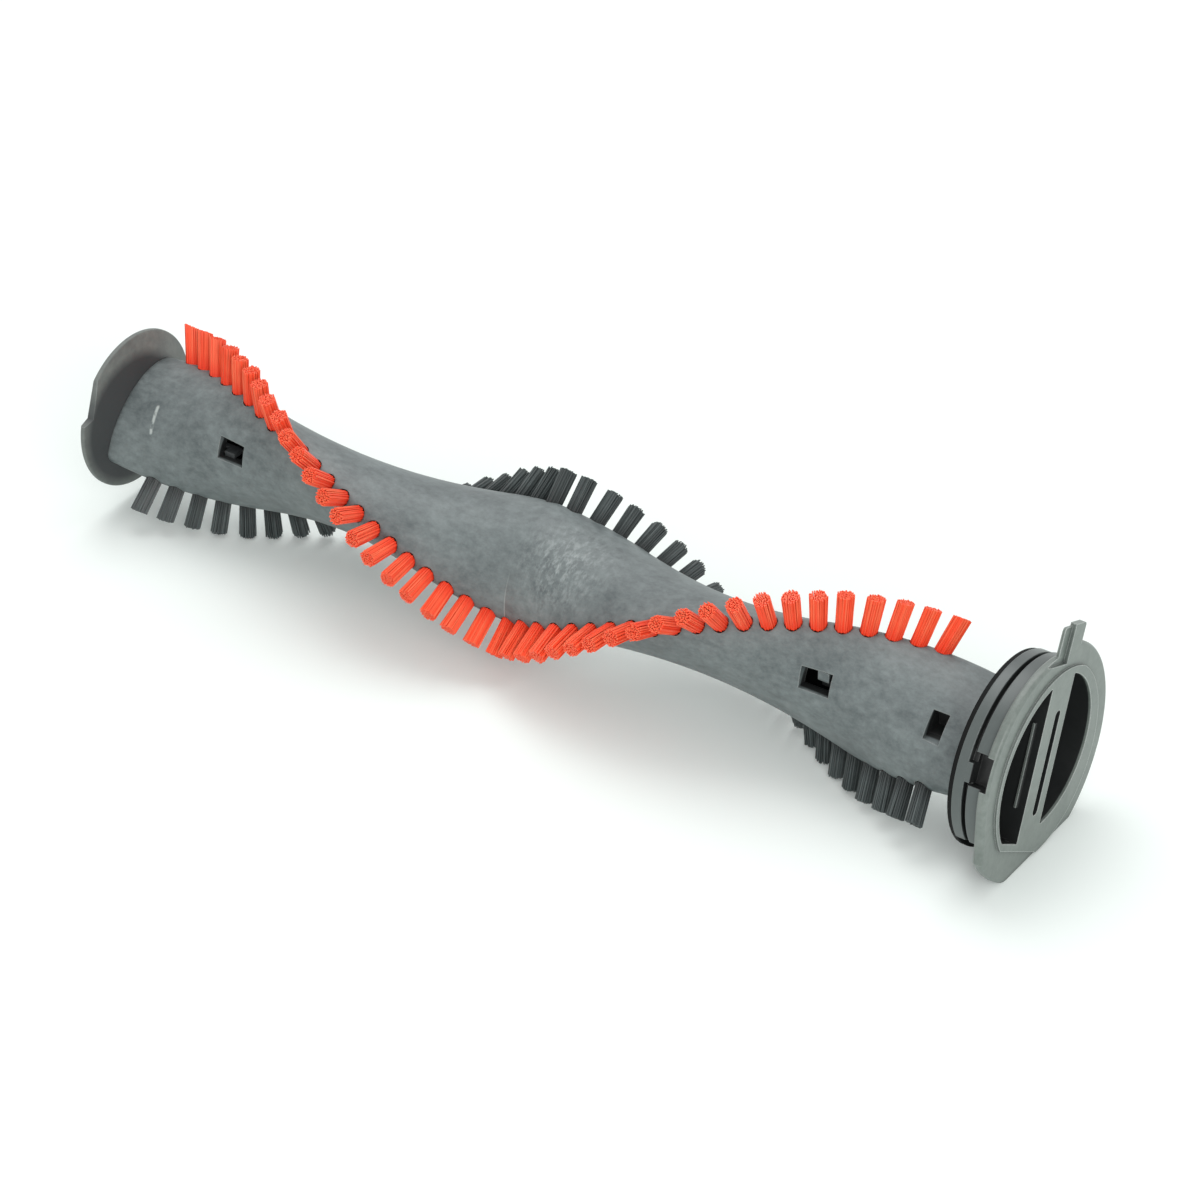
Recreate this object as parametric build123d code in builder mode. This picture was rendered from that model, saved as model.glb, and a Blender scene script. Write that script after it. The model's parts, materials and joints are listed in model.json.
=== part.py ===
from build123d import *
from math import cos, radians, sin, sqrt
import os

os.makedirs("parts", exist_ok=True)

# Roller brush of a floor-cleaning head, lying as it rests on a table.
# X runs along the roller from the drive end to the bearing cap, Y to the back and Z up, in millimetres.

# Whole brush
overall_length = 267.2
rest_height = 24.6
wall = 2.3
fit_gap = 0.05
end_float = 0.1

# Twisted roller body: two lens faces that meet at the tuft edges
vertex_x = -8.6
vertex_angle = 134.0
half_turn_length = 114.6
lens_half_width = 16.4
lens_half_thickness = 9.7
edge_radius = 4.0
cavity_edge_radius = 3.0
sections_per_half = 16
seal_gap = 0.5

# Bristle tufts: the end tufts of each row lean outwards
tuft_sides = 10
tuft_root_radius = 2.0
tuft_tip_radius = 2.4
tuft_hole_radius = 2.2
tuft_depth = 4.6
bright_pitch = 5.41
bright_start = 10.8
bright_end_room = 21.0
bright_left_lean = 5.0
bright_right_lean = 1.7
dark_pitch = 5.71
dark_start = 13.0
dark_end_room = 12.0
dark_left_lean = 0.9
dark_right_lean = 1.6
lean_span = 24.0

# Moulding windows, and the latch arms of both end plugs that reach them
left_window_setback = 37.8
right_window_setback = 44.4
window_length = 8.0
window_height = 5.5
window_middle = 5.05
window_floor = 3.0
end_window_setback = 12.2
end_window_length = 4.4
latch_low = 2.4
latch_height = 1.4
latch_inner = 4.2
latch_outer = 5.6
hook_length = 3.0
hook_reach = 7.6

# Drive-end flange and its coupling socket
drive_flange_radius = 20.9
drive_rim_thickness = 1.2
drive_rim_round = 0.4
drive_cone_depth = 3.4
plug_length = 20.0
socket_radius = 4.5
socket_depth = 14.0
key_width = 2.4
key_reach = 6.0
notch_chord = 18.4
notch_direction = 160.7
notch_ledge = 0.5
notch_slope = 0.83

# Axle pin and its plain bearing
pin_radius = 2.5
pin_seat_depth = 16.0
bush_radius = 4.5
bush_length = 7.6
washer_thickness = 0.4
washer_radius = 4.0
clip_thickness = 0.8
clip_radius = 3.9
clip_groove_radius = 1.9
pin_nose = 0.6
pin_chamfer = 0.4
bearing_plug_length = 20.0
plug_step = 0.5

# Bearing cap
flange_radius = 29.3
narrow_rim_radius = 26.2
flange_thickness = 2.5
flange_round = 0.9
panel_height = 0.6
panel_radius = 24.25
panel_y = 2.8
panel_z = -2.2
panel_limit_radius = 24.2
panel_chord = 21.3
chord_direction = 237.4
collar_radius = 24.6
collar_length = 3.3
groove_radius = 22.2
groove_width = 1.4
ring_radius = 24.2
ring_width = 2.5
hub_radius = 6.7
hub_length = 8.0
seal_radius = 23.9
seal_thickness = 1.2
front_pocket_radius = 22.6
front_pocket_y = 2.4
front_pocket_z = -2.4
back_pocket_radius = 19.2
back_pocket_y = 1.4
back_pocket_z = 2.3
pocket_chord = 19.5
pocket_depth = 8.4
pocket_corner = 0.4
bar_width = 9.9
bar_shift = 0.3
bar_direction = 71.0
coin_slot_length = 26.0
coin_slot_width = 2.4
coin_slot_depth = 4.0
coin_slot_shift = 0.6
bayonet_direction = 156.5
bayonet_width = 8.0
bayonet_depth = 4.0
bayonet_skin = 0.7
lug_direction = 159.5
lug_width = 4.7
tab_direction = 68.0
tab_width = 8.6
tab_thickness = 1.6
tab_reach = 33.7
tab_step = 0.8
tab_corner = 0.9
ramp_depth = 1.0
ramp_length = 18.0
ramp_shift = 0.8
rib_length = 20.8
rib_depth = 2.1
rib_size = 0.6

# Places along the axis
half_length = overall_length / 2
body_left = -half_length + drive_rim_thickness
flange_face = half_length - panel_height
flange_back = flange_face - flange_thickness
collar_back = flange_back - collar_length
ring_front = collar_back - groove_width
ring_back = ring_front - ring_width
body_right = ring_back - seal_thickness - seal_gap
hub_face = ring_back - hub_length
bush_front = hub_face + bush_length
plug_face = hub_face - end_float - washer_thickness
plug_end = plug_face - bearing_plug_length
clip_back = bush_front + end_float + washer_thickness
clip_front = clip_back + clip_thickness
pin_back = plug_face - pin_seat_depth
pin_front = clip_front + pin_nose
clip_room = pin_front + pin_nose
left_window_x = body_left + left_window_setback
right_window_x = body_right - right_window_setback
end_window_x = body_right - end_window_setback

# Sizes that follow from others
bore_radius = lens_half_thickness - wall
plug_radius = bore_radius - fit_gap
cavity_half_thickness = bore_radius - plug_step
lens_arc = (lens_half_width**2 + lens_half_thickness**2) / (2 * lens_half_thickness)
edge_middle = sqrt((lens_arc - edge_radius) ** 2 - (lens_arc - lens_half_thickness) ** 2)
tuft_mouth = edge_middle + edge_radius
tuft_floor = tuft_mouth - tuft_depth
cavity_half_width = tuft_floor - wall / 2
tuft_reach = sqrt((rest_height - fit_gap) ** 2 - tuft_tip_radius**2)
latch_middle = (latch_inner + latch_outer) / 2
far = 3 * flange_radius

# The cap's rim is narrower in front, so the axis lies in front of the brush's middle
axis_y = (narrow_rim_radius - flange_radius) / 2
roller_axis = Axis((0, axis_y, rest_height), (1, 0, 0))
profile_plane = Plane(origin=(0, axis_y, rest_height), x_dir=(1, 0, 0), z_dir=(0, -1, 0))


def row_direction(x):
    """Direction of the bright tuft row at x, in degrees from the back (Y) towards the top (Z)."""
    return 90.0 + vertex_angle - 180.0 * abs(x - vertex_x) / half_turn_length


def turned_plane(x, direction):
    """Plane across the roller at x with its local x along the direction."""
    turn = radians(direction)
    return Plane(origin=(x, axis_y, rest_height), x_dir=(0, cos(turn), sin(turn)), z_dir=(1, 0, 0))


def outward_plane(x, direction, radius):
    """Plane at a radius from the axis that faces outwards, with its local x along the roller."""
    turn = radians(direction)
    out = (0, cos(turn), sin(turn))
    place = (x, axis_y + radius * out[1], rest_height + radius * out[2])
    return Plane(origin=place, x_dir=(1, 0, 0), z_dir=out)


def row_places(start, pitch, end_room):
    """Places of one row's tufts, from the drive end to the bearing end."""
    first = body_left + start
    count = int((body_right - end_room - first) / pitch) + 1
    return [first + index * pitch for index in range(count)]


def tuft_lean(x, places, left_lean, right_lean):
    """How far a tuft's tip leans along the roller at x."""
    to_left = max(0.0, 1 - (x - places[0]) / lean_span)
    to_right = max(0.0, 1 - (places[-1] - x) / lean_span)
    return right_lean * to_right - left_lean * to_left


def tuft(x, direction, lean):
    """One tuft, straight in its hole and then widening to its leaning tip."""
    with BuildPart() as bundle:
        with BuildSketch(outward_plane(x, direction, tuft_floor)):
            RegularPolygon(tuft_root_radius, tuft_sides)
        with BuildSketch(outward_plane(x, direction, tuft_mouth)):
            RegularPolygon(tuft_root_radius, tuft_sides)
        with BuildSketch(outward_plane(x + lean, direction, tuft_reach)):
            RegularPolygon(tuft_tip_radius, tuft_sides)
        loft(ruled=True)
    return bundle.part


def tuft_row(places, side, left_lean, right_lean):
    """One row of tufts: side 0 is the bright row and 180 the dark one."""
    leans = [tuft_lean(x, places, left_lean, right_lean) for x in places]
    bundles = [tuft(x, row_direction(x) + side, lean) for x, lean in zip(places, leans)]
    with BuildPart() as row:
        add(bundles)
    return row.part


def both_sides(x, y, z):
    """A place beside the axis and the same place half a turn further round it."""
    return [(x, axis_y + y, rest_height + z), (x, axis_y - y, rest_height - z)]


# Lens sections of the outside and of the hollow: half sizes, edge radius and both ends
outside = (lens_half_width, lens_half_thickness, edge_radius, body_left, body_right, Mode.ADD)
hollow = (
    cavity_half_width,
    cavity_half_thickness,
    cavity_edge_radius,
    body_left + plug_length,
    plug_end,
    Mode.SUBTRACT,
)
window_depth = lens_half_width - window_floor
window_y = -(lens_half_width + window_floor) / 2
bright_places = row_places(bright_start, bright_pitch, bright_end_room)
dark_places = row_places(dark_start, dark_pitch, dark_end_room)

# Hollow twisted roller body with its end bores, tuft holes and moulding windows
with BuildPart() as roller_body:
    for half_width, half_thickness, radius, left, right, mode in (outside, hollow):
        for end in (left, right):
            for step in range(sections_per_half + 1):
                place = vertex_x + (end - vertex_x) * step / sections_per_half
                with BuildSketch(turned_plane(place, row_direction(place))) as lens:
                    with BuildLine():
                        ThreePointArc((-half_width, 0), (0, half_thickness), (half_width, 0))
                        ThreePointArc((half_width, 0), (0, -half_thickness), (-half_width, 0))
                    make_face()
                    fillet(lens.vertices(), radius)
            loft(mode=mode)
    with BuildSketch(turned_plane(body_left, 0)):
        Circle(bore_radius)
    extrude(amount=plug_length, mode=Mode.SUBTRACT)
    with BuildSketch(turned_plane(plug_end, 0)):
        Circle(bore_radius)
    extrude(amount=body_right - plug_end, mode=Mode.SUBTRACT)
    with BuildSketch(profile_plane):
        with BuildLine():
            Polyline(
                (-half_length, 0),
                (-half_length, drive_flange_radius),
                (body_left + fit_gap, drive_flange_radius),
                (body_left + drive_cone_depth + fit_gap, plug_radius),
                (body_left + drive_cone_depth + fit_gap, 0),
                close=True,
            )
        make_face()
    revolve(axis=roller_axis, mode=Mode.SUBTRACT)
    for places, side in ((bright_places, 0), (dark_places, 180)):
        with Locations(*[outward_plane(x, row_direction(x) + side, tuft_floor) for x in places]):
            Cylinder(
                tuft_hole_radius,
                2 * tuft_depth,
                align=(Align.CENTER, Align.CENTER, Align.MIN),
                mode=Mode.SUBTRACT,
            )
    for window_x in (left_window_x, right_window_x):
        with Locations(*both_sides(window_x, window_y, window_middle)):
            Box(window_length, window_depth, window_height, mode=Mode.SUBTRACT)
    with Locations(*both_sides(end_window_x, window_y, window_middle)):
        Box(end_window_length, window_depth, window_height, mode=Mode.SUBTRACT)
roller_body.part.label = "roller_body"
export_step(roller_body.part, "parts/roller_body.step")

# Bright bristle tufts, each standing on the floor of its own hole
bright_tufts = tuft_row(bright_places, 0, bright_left_lean, bright_right_lean)
bright_tufts.label = "bright_tufts"
export_step(bright_tufts, "parts/bright_tufts.step")

# Dark bristle tufts of the opposite row
dark_tufts = tuft_row(dark_places, 180, dark_left_lean, dark_right_lean)
dark_tufts.label = "dark_tufts"
export_step(dark_tufts, "parts/dark_tufts.step")

# Drive-end flange: lobed disc, plug in the body's end, coupling socket and latch arms
drive_face = -half_length
drive_plug_end = body_left + plug_length
drive_latch_end = left_window_x
with BuildPart() as drive_flange:
    with BuildSketch(profile_plane):
        with BuildLine():
            Polyline(
                (drive_face, socket_radius),
                (drive_face, drive_flange_radius),
                (body_left, drive_flange_radius),
                (body_left + drive_cone_depth, plug_radius),
                (drive_plug_end, plug_radius),
                (drive_plug_end, 0),
                (drive_face + socket_depth, 0),
                (drive_face + socket_depth, socket_radius),
                close=True,
            )
        make_face()
    revolve(axis=roller_axis)
    circles = drive_flange.edges().filter_by(GeomType.CIRCLE)
    rim = circles.filter_by(lambda edge: abs(edge.radius - drive_flange_radius) < fit_gap)
    fillet(rim, drive_rim_round)
    for side in (0, 180):
        with BuildSketch(turned_plane(drive_face, notch_direction + side)):
            with BuildLine():
                Polyline(
                    (notch_chord, -drive_flange_radius),
                    (notch_chord, notch_ledge),
                    (far, notch_ledge + notch_slope * (far - notch_chord)),
                    (far, -drive_flange_radius),
                    close=True,
                )
            make_face()
    extrude(amount=drive_cone_depth, mode=Mode.SUBTRACT)
    with BuildSketch(turned_plane(drive_face, 0)):
        Rectangle(2 * key_reach, key_width)
    extrude(amount=socket_depth, mode=Mode.SUBTRACT)
    arm_length = drive_latch_end - drive_plug_end
    arm_z = latch_low + latch_height / 2
    with Locations(*both_sides(drive_plug_end + arm_length / 2, -latch_middle, arm_z)):
        Box(arm_length, latch_outer - latch_inner, latch_height)
    hook_y = -(latch_inner + hook_reach) / 2
    with Locations(*both_sides(drive_latch_end - hook_length / 2, hook_y, arm_z)):
        Box(hook_length, hook_reach - latch_inner, latch_height)
drive_flange.part.label = "drive_flange"
export_step(drive_flange.part, "parts/drive_flange.step")

# Bearing-end plug that carries the axle pin, with its latch arms
latch_end = right_window_x
hook_top = window_middle + window_height / 2 - 2 * end_float
with BuildPart() as bearing_plug:
    with BuildSketch(profile_plane):
        with BuildLine():
            Polyline(
                (plug_face, pin_radius + fit_gap),
                (plug_face, plug_radius),
                (plug_end, plug_radius),
                (plug_end, 0),
                (pin_back, 0),
                (pin_back, pin_radius + fit_gap),
                close=True,
            )
        make_face()
    revolve(axis=roller_axis)
    with Locations(*both_sides(end_window_x, window_y, window_middle)):
        Box(end_window_length, window_depth, window_height, mode=Mode.SUBTRACT)
    arm_length = plug_end - latch_end
    with Locations(*both_sides(latch_end + arm_length / 2, -latch_middle, arm_z)):
        Box(arm_length, latch_outer - latch_inner, latch_height)
    hook_x = latch_end + hook_length / 2
    with Locations(*both_sides(hook_x, -latch_middle, (latch_low + hook_top) / 2)):
        Box(hook_length, latch_outer - latch_inner, hook_top - latch_low)
    with Locations(*both_sides(hook_x, hook_y, (window_middle + hook_top) / 2)):
        Box(hook_length, hook_reach - latch_inner, hook_top - window_middle)
bearing_plug.part.label = "bearing_plug"
export_step(bearing_plug.part, "parts/bearing_plug.step")

# Steel axle pin, seated in the plug and grooved for its clip
with BuildPart() as axle_pin:
    with BuildSketch(profile_plane):
        with BuildLine():
            Polyline(
                (pin_back, 0),
                (pin_back, pin_radius),
                (clip_back, pin_radius),
                (clip_back, clip_groove_radius),
                (clip_front, clip_groove_radius),
                (clip_front, pin_radius),
                (pin_front - pin_chamfer, pin_radius),
                (pin_front, pin_radius - pin_chamfer),
                (pin_front, 0),
                close=True,
            )
        make_face()
    revolve(axis=roller_axis)
axle_pin.part.label = "axle_pin"
export_step(axle_pin.part, "parts/axle_pin.step")


def plain_ring(x, length, outer_radius, inner_radius):
    """A round ring on the roller's axis."""
    with BuildPart() as ring:
        with BuildSketch(turned_plane(x, 0)):
            Circle(outer_radius)
            Circle(inner_radius, mode=Mode.SUBTRACT)
        extrude(amount=length)
    return ring.part


# Thrust washers on both sides of the bush
inner_washer = plain_ring(plug_face, washer_thickness, washer_radius, pin_radius + fit_gap)
inner_washer.label = "inner_washer"
export_step(inner_washer, "parts/inner_washer.step")

outer_washer_back = clip_back - washer_thickness
outer_washer = plain_ring(outer_washer_back, washer_thickness, washer_radius, pin_radius + fit_gap)
outer_washer.label = "outer_washer"
export_step(outer_washer, "parts/outer_washer.step")

# Sintered bush in the cap's hub
bearing_bush = plain_ring(hub_face, bush_length, bush_radius, pin_radius + fit_gap)
bearing_bush.label = "bearing_bush"
export_step(bearing_bush, "parts/bearing_bush.step")

# Dust seal against the cap's back
dust_seal = plain_ring(ring_back - seal_thickness, seal_thickness, seal_radius, hub_radius + fit_gap)
dust_seal.label = "dust_seal"
export_step(dust_seal, "parts/dust_seal.step")

# Open clip in the pin's groove
with BuildPart() as pin_clip:
    with BuildSketch(turned_plane(clip_back, 0)):
        Circle(clip_radius)
        Circle(clip_groove_radius + fit_gap, mode=Mode.SUBTRACT)
        mouth = 2 * clip_groove_radius
        Rectangle(clip_radius, mouth, align=(Align.MIN, Align.CENTER), mode=Mode.SUBTRACT)
    extrude(amount=clip_thickness)
pin_clip.part.label = "pin_clip"
export_step(pin_clip.part, "parts/pin_clip.step")



def flange_plate():
    """The cap's wide flange: a disc with a flat front edge, left out on its upper front."""
    with BuildPart() as plate:
        with BuildSketch(turned_plane(flange_back, 0)):
            Circle(flange_radius)
            with Locations((-narrow_rim_radius, 0)):
                Rectangle(far, 2 * far, align=(Align.MAX, Align.CENTER), mode=Mode.SUBTRACT)
        extrude(amount=flange_thickness)
        levels = plate.edges().group_by(Axis.X)
        fillet(levels[0] + levels[-1], flange_round)
        turn = radians(tab_direction)
        with BuildSketch(turned_plane(flange_back, 0)):
            with BuildLine():
                Polyline((0, 0), (far * cos(turn), far * sin(turn)), (-far, far), (-far, 0), close=True)
            make_face()
        extrude(amount=flange_thickness, mode=Mode.SUBTRACT)
    return plate.part


# Bearing cap: hub, ring, groove and collar behind a flange with two finger pockets
wide_flange = flange_plate()
with BuildPart() as end_cap:
    with BuildSketch(profile_plane):
        with BuildLine():
            Polyline(
                (hub_face, bush_radius + fit_gap),
                (hub_face, hub_radius),
                (ring_back, hub_radius),
                (ring_back, ring_radius),
                (ring_front, ring_radius),
                (ring_front, groove_radius),
                (collar_back, groove_radius),
                (collar_back, collar_radius),
                (flange_back, collar_radius),
                (flange_back, narrow_rim_radius),
                (flange_face, narrow_rim_radius),
                (flange_face, 0),
                (clip_room, 0),
                (clip_room, washer_radius + end_float),
                (bush_front, washer_radius + end_float),
                (bush_front, bush_radius + fit_gap),
                close=True,
            )
        make_face()
    revolve(axis=roller_axis)
    circles = end_cap.edges().filter_by(GeomType.CIRCLE)
    rim = circles.filter_by(lambda edge: abs(edge.radius - narrow_rim_radius) < fit_gap)
    fillet(rim, flange_round)
    add(wide_flange)
    # The lug bridges the groove beside the bayonet notch
    lug_height = ring_radius - groove_radius + wall / 2
    lug_plane = outward_plane((ring_front + collar_back) / 2, lug_direction, groove_radius - wall / 2)
    with Locations(lug_plane):
        Box(groove_width, lug_width, lug_height, align=(Align.CENTER, Align.CENTER, Align.MIN))
    notch_floor = collar_radius - bayonet_depth
    notch_length = flange_face - bayonet_skin - collar_back
    with BuildSketch(outward_plane(collar_back + notch_length / 2, bayonet_direction, notch_floor)):
        Rectangle(notch_length, bayonet_width)
    extrude(amount=far, mode=Mode.SUBTRACT)
    # One flat runs across ring and collar, and the flange's own flat rests on the table
    with BuildSketch(turned_plane(ring_back, chord_direction)):
        with Locations((panel_chord, 0)):
            Rectangle(far, 2 * far, align=(Align.MIN, Align.CENTER))
    extrude(amount=flange_back - ring_back, mode=Mode.SUBTRACT)
    with BuildSketch(turned_plane(ring_back, 0)):
        with Locations((0, -rest_height)):
            Rectangle(2 * far, far, align=(Align.CENTER, Align.MAX))
    extrude(amount=half_length - ring_back, mode=Mode.SUBTRACT)
    # Stepped grip tab on the rim, and the ramp that ends at its step
    with BuildSketch(turned_plane(flange_face - tab_thickness, tab_direction)) as tab:
        Rectangle(tab_reach - tab_step, tab_width, align=(Align.MIN, Align.CENTER))
        with Locations((0, ramp_shift)):
            Rectangle(tab_reach, tab_width / 2 + ramp_shift, align=(Align.MIN, Align.MAX))
        sides = tab.vertices().group_by(Axis.Y)
        fillet(sides[0] + sides[-1], tab_corner)
    extrude(amount=tab_thickness)
    ramp_end = -ramp_shift - ramp_length
    with BuildSketch(outward_plane(flange_face, tab_direction, panel_limit_radius)):
        with BuildLine():
            Polyline((0, -ramp_shift), (-ramp_depth, -ramp_shift), (0, ramp_end), close=True)
        make_face()
    extrude(amount=far, mode=Mode.SUBTRACT)
    # Raised panel, with a finger pocket on each side of the coin-slot bar
    with BuildSketch(turned_plane(flange_face, 0)):
        Circle(panel_limit_radius)
        with Locations((panel_y, panel_z)):
            Circle(panel_radius, mode=Mode.INTERSECT)
        with Locations(Rotation(0, 0, chord_direction) * Location((panel_chord, 0, 0))):
            Rectangle(far, 2 * far, align=(Align.MIN, Align.CENTER), mode=Mode.SUBTRACT)
    extrude(amount=panel_height)
    with BuildSketch(turned_plane(half_length, 0)) as front_pocket:
        with Locations((front_pocket_y, front_pocket_z)):
            Circle(front_pocket_radius)
        with Locations(Rotation(0, 0, bar_direction) * Location((0, bar_shift + bar_width / 2, 0))):
            Rectangle(2 * far, far, align=(Align.CENTER, Align.MAX), mode=Mode.SUBTRACT)
        with Locations(Rotation(0, 0, chord_direction) * Location((pocket_chord, 0, 0))):
            Rectangle(far, 2 * far, align=(Align.MIN, Align.CENTER), mode=Mode.SUBTRACT)
        fillet(front_pocket.vertices(), pocket_corner)
    extrude(amount=-pocket_depth, mode=Mode.SUBTRACT)
    with BuildSketch(turned_plane(half_length, 0)) as back_pocket:
        with Locations((back_pocket_y, back_pocket_z)):
            Circle(back_pocket_radius)
        with Locations(Rotation(0, 0, bar_direction) * Location((0, bar_shift - bar_width / 2, 0))):
            Rectangle(2 * far, far, align=(Align.CENTER, Align.MIN), mode=Mode.SUBTRACT)
        fillet(back_pocket.vertices(), pocket_corner)
    extrude(amount=-pocket_depth, mode=Mode.SUBTRACT)
    with BuildSketch(turned_plane(half_length, bar_direction)):
        with Locations((0, -coin_slot_shift)):
            SlotOverall(coin_slot_length, coin_slot_width)
    extrude(amount=-coin_slot_depth, mode=Mode.SUBTRACT)
    with BuildSketch(turned_plane(half_length - rib_depth, bar_direction)):
        with Locations((0, bar_shift + bar_width / 2)):
            Rectangle(rib_length, 2 * rib_size)
    extrude(amount=-rib_size)
end_cap.part.label = "end_cap"
export_step(end_cap.part, "parts/end_cap.step")
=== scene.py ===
# %% [markdown]
# This lesson dresses a roller brush from a floor-cleaning head. The brush is a twisted plastic bar with
# two rows of bristle tufts, a lobed drive flange at one end and a grey bearing cap at the other.
# The exact solids come from the CAD frame, so Blender only adds finishes, bristles, light and a camera.

import bpy
import json
import math
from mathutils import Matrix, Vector


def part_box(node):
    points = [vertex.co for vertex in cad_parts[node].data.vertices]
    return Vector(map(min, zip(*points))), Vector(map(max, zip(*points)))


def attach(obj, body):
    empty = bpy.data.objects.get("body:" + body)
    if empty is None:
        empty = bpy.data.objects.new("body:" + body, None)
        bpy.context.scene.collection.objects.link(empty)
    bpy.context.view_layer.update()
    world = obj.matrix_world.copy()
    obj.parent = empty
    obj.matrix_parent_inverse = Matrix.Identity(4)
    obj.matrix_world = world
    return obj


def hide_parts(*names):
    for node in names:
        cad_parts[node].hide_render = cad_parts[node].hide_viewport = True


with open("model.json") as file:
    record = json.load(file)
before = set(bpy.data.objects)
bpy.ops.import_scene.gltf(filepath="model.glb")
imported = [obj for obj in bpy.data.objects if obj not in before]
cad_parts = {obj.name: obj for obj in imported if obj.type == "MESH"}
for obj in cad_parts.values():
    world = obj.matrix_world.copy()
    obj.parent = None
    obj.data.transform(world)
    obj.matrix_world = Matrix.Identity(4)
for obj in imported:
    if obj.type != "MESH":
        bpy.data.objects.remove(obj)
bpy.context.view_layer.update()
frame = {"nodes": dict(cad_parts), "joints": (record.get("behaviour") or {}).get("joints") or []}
AXIS_SIDE, AXIS_HEIGHT = frame["joints"][0]["pos_m"][1:]
print("nodes:", sorted(frame["nodes"]))
print("the roller's axis lies at y", AXIS_SIDE, "and z", AXIS_HEIGHT)

# %% [markdown]
# The camera stands where the photograph was taken from: about 35 degrees round from the front and as
# many above the floor, with a long lens. Its place could be found by eye, but a fit of the cap's circles
# and of the long rows of tufts gives it to a fraction of a degree, so that view is written down here.

# %% Camera at the photograph's angle
VIEW_TURN = math.radians(34.66)
VIEW_RISE = math.radians(34.68)
VIEW_DISTANCE = 1.082
VIEW_TARGET = Vector((0.0108, AXIS_SIDE, 0.02147))
LENS = 135.27
SENSOR_WIDTH = 36.0

toward_camera = Vector(
    (
        math.sin(VIEW_TURN) * math.cos(VIEW_RISE),
        -math.cos(VIEW_TURN) * math.cos(VIEW_RISE),
        math.sin(VIEW_RISE),
    )
)
camera_data = bpy.data.cameras.new("photo_camera")
camera_data.lens = LENS
camera_data.sensor_width = SENSOR_WIDTH
camera = bpy.data.objects.new("photo_camera", camera_data)
camera.location = VIEW_TARGET + VIEW_DISTANCE * toward_camera
camera.rotation_euler = toward_camera.to_track_quat("Z", "Y").to_euler()
bpy.context.scene.collection.objects.link(camera)
bpy.context.scene.camera = camera
print("camera at", [round(value, 4) for value in camera.location])

# %% [markdown]
# Finishes, light and bristles are all trees of nodes. They could be drawn by hand in the node editor, but
# a script builds the same tree on every run. A few helpers keep it short: they add a node with its
# inputs, do one sum, or mix two colours by a share of 0 to 1.

# %% Colours, nodes and sums
def paint(red, green, blue):
    """An on-screen colour of 0 to 255 as the linear colour that shaders read."""
    shares = [value / 255 for value in (red, green, blue)]
    return [s / 12.92 if s <= 0.04045 else ((s + 0.055) / 1.055) ** 2.4 for s in shares] + [1.0]


def wire(tree, value, socket):
    """Links a socket, or sets a plain value."""
    if isinstance(value, bpy.types.NodeSocket):
        tree.links.new(value, socket)
    else:
        socket.default_value = value


def place(tree, kind, settings=None, **inputs):
    """Adds a node with its settings and its named inputs."""
    made = tree.nodes.new(kind)
    for name, value in (settings or {}).items():
        setattr(made, name, value)
    for name, value in inputs.items():
        sockets = [s for s in made.inputs if s.enabled and s.name == name.replace("_", " ")]
        wire(tree, value, sockets[0])
    return made


def calc(tree, operation, *values):
    """One sum on numbers or sockets."""
    step = tree.nodes.new("ShaderNodeMath")
    step.operation = operation
    for value, socket in zip(values, step.inputs):
        wire(tree, value, socket)
    return step.outputs[0]


def arrow(tree, operation, first, second=None):
    """One sum on places and directions."""
    step = tree.nodes.new("ShaderNodeVectorMath")
    step.operation = operation
    wire(tree, first, step.inputs[0])
    if second is not None:
        wire(tree, second, step.inputs["Scale" if operation == "SCALE" else 1])
    return step.outputs["Value" if operation in ("DISTANCE", "DOT_PRODUCT", "LENGTH") else "Vector"]


print("paint(128, 128, 128) is", [round(value, 3) for value in paint(128, 128, 128)])

# %% Shares, mixes and materials
def ramp(tree, value, start, end):
    """A share that climbs from 0 at the start to 1 at the end."""
    made = place(tree, "ShaderNodeMapRange", Value=value, From_Min=start, From_Max=end)
    return made.outputs["Result"]


def colour_mix(tree, share, first, second):
    """Mixes two colours by a share of 0 to 1."""
    mixed = place(tree, "ShaderNodeMix", {"data_type": "RGBA"}, Factor=share)
    ends = [s for s in mixed.inputs if s.enabled and s.type == "RGBA"]
    wire(tree, first, ends[0])
    wire(tree, second, ends[1])
    return [s for s in mixed.outputs if s.enabled][0]


def noise(tree, where, scale, detail, roughness=0.5):
    """A share that wanders round one half from place to place."""
    made = place(
        tree, "ShaderNodeTexNoise", Vector=where, Scale=scale, Detail=detail, Roughness=roughness
    )
    return made.outputs["Fac"]


def object_place(tree):
    """The place of the shaded point on its piece."""
    return place(tree, "ShaderNodeTexCoord").outputs["Object"]


def surface(finish):
    """The sockets of a finish's surface shader."""
    return finish.node_tree.nodes["Principled BSDF"].inputs


def new_finish(name):
    """A material with an empty surface shader."""
    finish = bpy.data.materials.new(name)
    finish.use_nodes = True
    return finish


def cover(finish, share, colour):
    """Lays another colour over a finish where the share says so."""
    tree = finish.node_tree
    socket = surface(finish)["Base Color"]
    under = socket.links[0].from_socket
    tree.links.new(colour_mix(tree, share, under, colour), socket)


print("helpers for shares, mixes and materials are ready")

# %% [markdown]
# A product photograph has a pale floor and broad, soft light. Stronger lamps could make the floor as
# pale, but they would bleach the brush too. So the floor glows a little, only in what the camera sees,
# straight or mirrored, and more toward the distance, where the lamps reach less.

# %% Floor
FLOOR_SIZE = 6.0
FLOOR_DROP = 0.00005
FLOOR_COLOUR = paint(242, 249, 246)
FLOOR_ROUGHNESS = 0.9
GLOW_COLOUR = (0.95, 1.0, 0.98, 1.0)
NEAR_GLOW = 0.07
ADDED_FAR_GLOW = 0.5
LIT_REACH = 0.4
FAR_REACH = FLOOR_SIZE / 4


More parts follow.
